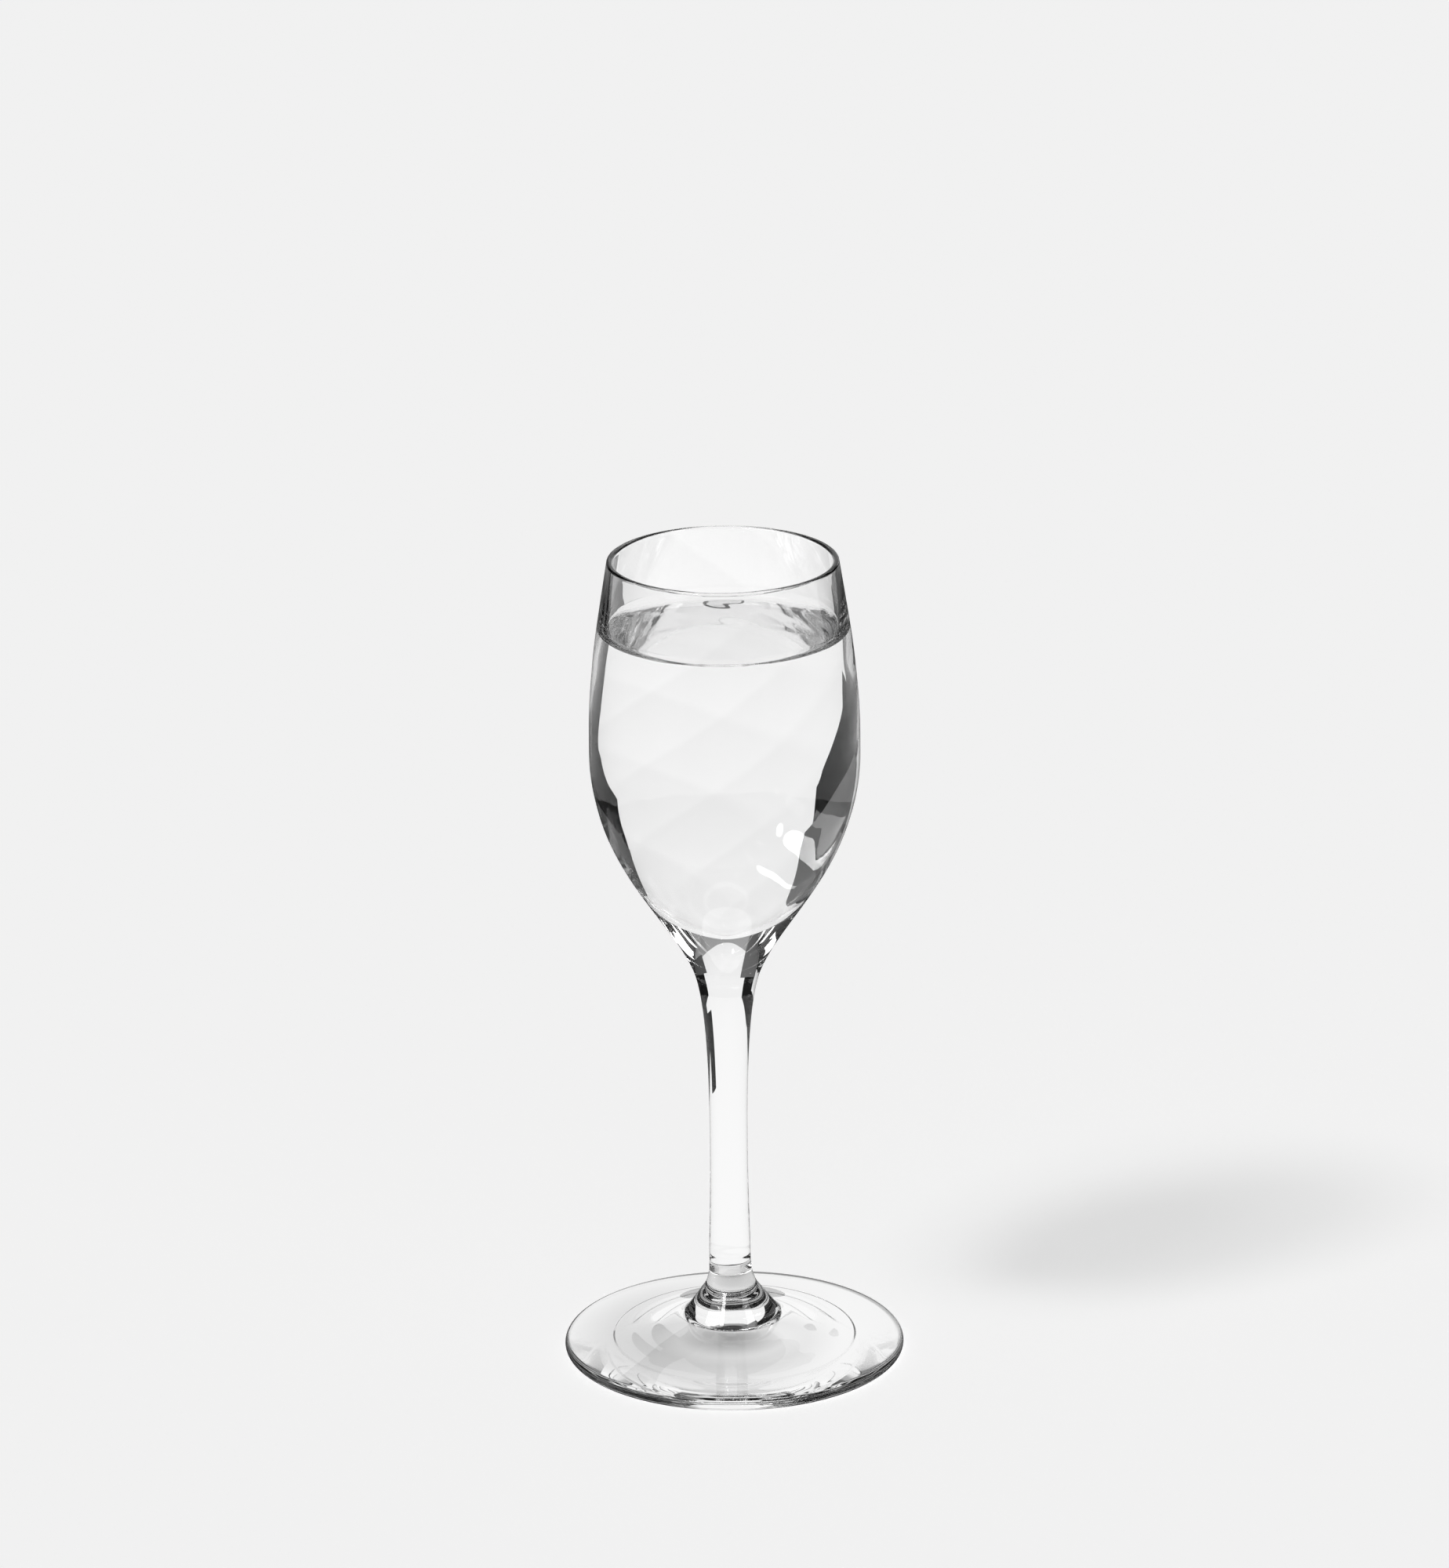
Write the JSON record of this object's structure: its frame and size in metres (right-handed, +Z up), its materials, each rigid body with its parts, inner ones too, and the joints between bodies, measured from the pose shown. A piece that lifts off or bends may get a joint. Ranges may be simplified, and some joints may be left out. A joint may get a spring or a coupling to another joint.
{
  "type": "vodka glass",
  "caption": "Clear stemmed vodka glass: tulip bowl with a thin lip, drawn stem and round foot with a collar, holding a clear drink.",
  "frame": {"origin": "on the table, at the middle of the foot", "axes": "+Z up along the axis of the glass; the glass is round, so +X and +Y are free"},
  "size_m": [0.0616, 0.0616, 0.15],
  "materials": {
    "bowl_glass": "clear, fire-polished",
    "stem_glass": "clear, fire-polished",
    "foot_glass": "clear, fire-polished",
    "clear_drink": "clear liquid"
  },
  "bodies": {
    "root": {"bowl": "bowl_glass", "stem": "stem_glass", "foot": "foot_glass", "drink": "clear_drink"}
  },
  "joints": []
}
